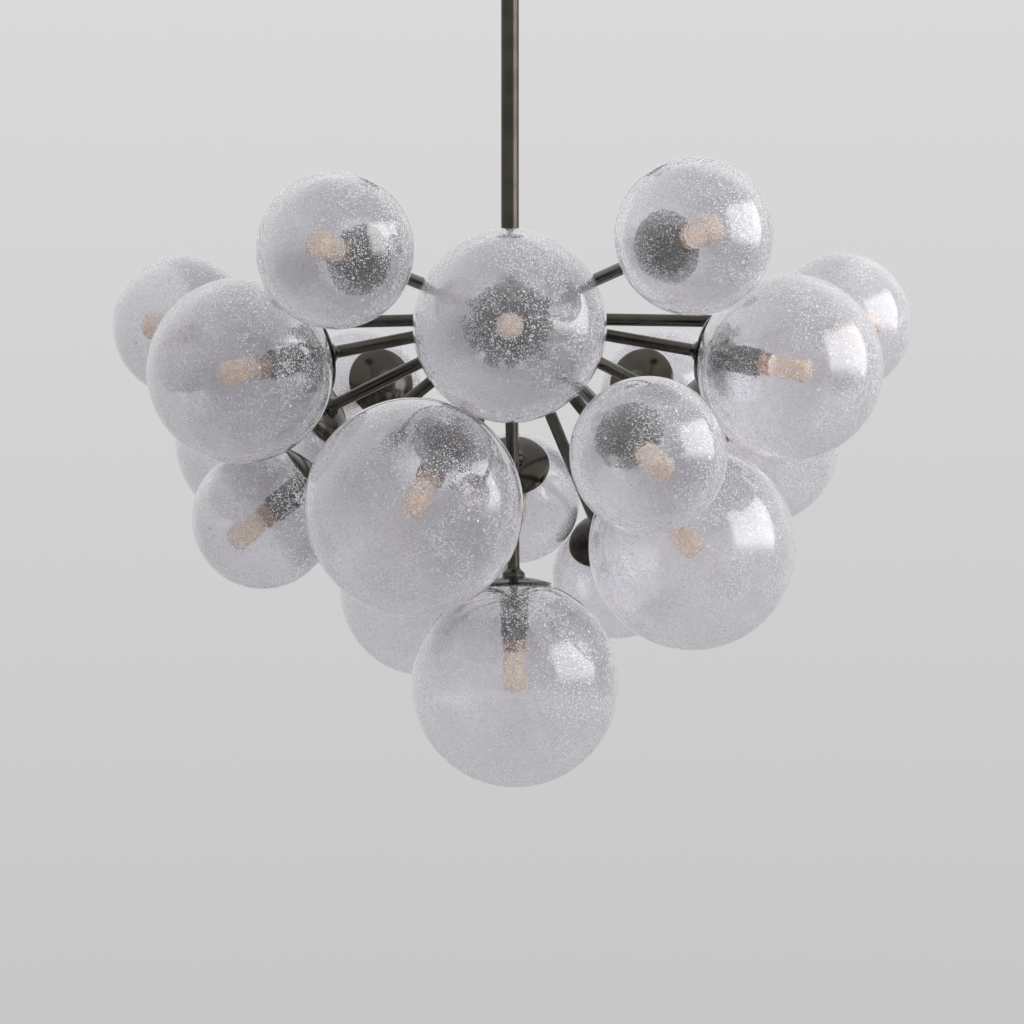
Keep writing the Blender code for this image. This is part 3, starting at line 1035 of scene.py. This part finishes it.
def makeWorld():
    # Rays from the camera, and those that glass and metal send on, see the pale background.
    # The rest see the studio's soft light. Both are stronger towards the top.
    world = bpy.data.worlds.new("studio")
    bpy.context.scene.world = world
    world.use_nodes = True
    tree = world.node_tree
    tree.nodes.clear()

    def combine(operation, a, b):
        node = tree.nodes.new("ShaderNodeMath")
        node.operation = operation
        for socket, value in zip(node.inputs, (a, b)):
            if isinstance(value, bpy.types.NodeSocket):
                tree.links.new(value, socket)
            else:
                socket.default_value = value
        return node.outputs[0]

    path = tree.nodes.new("ShaderNodeLightPath").outputs
    seen = combine("MAXIMUM", path["Is Camera Ray"], path["Is Glossy Ray"])
    seen = combine("MAXIMUM", seen, path["Is Transmission Ray"])
    split = tree.nodes.new("ShaderNodeSeparateXYZ")
    tree.links.new(tree.nodes.new("ShaderNodeTexCoord").outputs["Generated"], split.inputs[0])
    x, up = split.outputs[0], split.outputs[2]
    shade = combine("ADD", combine("MULTIPLY", up, room["backgroundRise"]), room["background"])
    pale = tree.nodes.new("ShaderNodeBackground")
    pale.inputs["Color"].default_value = (1.0, 1.0, 1.0, 1.0)
    tree.links.new(combine("MAXIMUM", shade, room["backgroundLeast"]), pale.inputs["Strength"])
    rise = combine("MULTIPLY", up, room["lightRise"])
    right = combine("MULTIPLY", x, room["lightRight"])
    soft = tree.nodes.new("ShaderNodeBackground")
    soft.inputs["Color"].default_value = room["lightColor"]
    strength = combine("ADD", combine("ADD", rise, right), room["lightStrength"])
    tree.links.new(strength, soft.inputs["Strength"])
    mix = tree.nodes.new("ShaderNodeMixShader")
    tree.links.new(seen, mix.inputs["Fac"])
    tree.links.new(soft.outputs[0], mix.inputs[1])
    tree.links.new(pale.outputs[0], mix.inputs[2])
    output = tree.nodes.new("ShaderNodeOutputWorld")
    tree.links.new(mix.outputs[0], output.inputs["Surface"])


lamps = {
    "windowRight": {
        "azimuth": -18.0,
        "elevation": 12.0,
        "distance": 2.1,
        "size": (2.4, 1.9),
        "power": 41.0,
        "soft": (0.14, 0.12, 0.30, 0.20),
    },
}


def makeLight(name, values):
    # A panel that faces the hub. Its glow fades out towards each edge, over a share of its
    # width or height: near side, far side, bottom and top.
    azimuth, elevation = math.radians(values["azimuth"]), math.radians(values["elevation"])
    outward = np.array(
        [
            math.cos(elevation) * math.cos(azimuth),
            math.cos(elevation) * math.sin(azimuth),
            math.sin(elevation),
        ]
    )
    data = bpy.data.lights.new(name, "AREA")
    data.shape = "RECTANGLE"
    data.size, data.size_y = values["size"]
    data.energy = values["power"]
    data.use_nodes = True
    tree = data.node_tree
    place = tree.nodes.new("ShaderNodeNewGeometry")
    split = tree.nodes.new("ShaderNodeSeparateXYZ")
    tree.links.new(place.outputs["Parametric"], split.inputs[0])
    glow = None
    near, far, bottom, top = values["soft"]
    for axis, low, high, start, end in (
        (0, 0.0, near, 0.0, 1.0),
        (0, 1.0 - far, 1.0, 1.0, 0.0),
        (1, 0.0, bottom, 0.0, 1.0),
        (1, 1.0 - top, 1.0, 1.0, 0.0),
    ):
        ramp = tree.nodes.new("ShaderNodeMapRange")
        ramp.interpolation_type = "SMOOTHSTEP"
        tree.links.new(split.outputs[axis], ramp.inputs["Value"])
        ends = {"From Min": low, "From Max": high, "To Min": start, "To Max": end}
        for key, number in ends.items():
            ramp.inputs[key].default_value = number
        if glow is None:
            glow = ramp.outputs[0]
            continue
        both = tree.nodes.new("ShaderNodeMath")
        both.operation = "MULTIPLY"
        tree.links.new(glow, both.inputs[0])
        tree.links.new(ramp.outputs[0], both.inputs[1])
        glow = both.outputs[0]
    tree.links.new(glow, tree.nodes["Emission"].inputs["Strength"])
    light = bpy.data.objects.new(name, data)
    light.location = hubCentre + outward * values["distance"]
    light.rotation_mode = "QUATERNION"
    light.rotation_quaternion = Vector(outward).to_track_quat("Z", "Y")
    bpy.context.scene.collection.objects.link(light)


def makeCamera():
    camera = bpy.data.objects.new("camera", bpy.data.cameras.new("camera"))
    half = room["imageSize"] / 2
    sideways = (half - room["stemPixel"]) * room["cameraDistance"] / room["focalPixels"]
    camera.location = (
        sideways,
        -room["cameraDistance"],
        layout["hubHeight"] - room["cameraBelowHub"],
    )
    camera.rotation_euler = (math.pi / 2, 0.0, 0.0)
    camera.data.sensor_width = room["sensorWidth"]
    camera.data.lens = room["focalPixels"] / room["imageSize"] * room["sensorWidth"]
    camera.data.clip_end = room["viewEnd"]
    bpy.context.scene.collection.objects.link(camera)
    bpy.context.scene.camera = camera


makeFloor()
makeWorld()
for name, values in lamps.items():
    makeLight(name, values)
makeCamera()

scene = bpy.context.scene
scene.view_settings.view_transform = "Standard"
scene.cycles.max_bounces = 28
scene.cycles.transmission_bounces = 26
scene.cycles.glossy_bounces = 8
scene.cycles.diffuse_bounces = 3
scene.cycles.sample_clamp_indirect = 6.0
print("room, light and camera made")
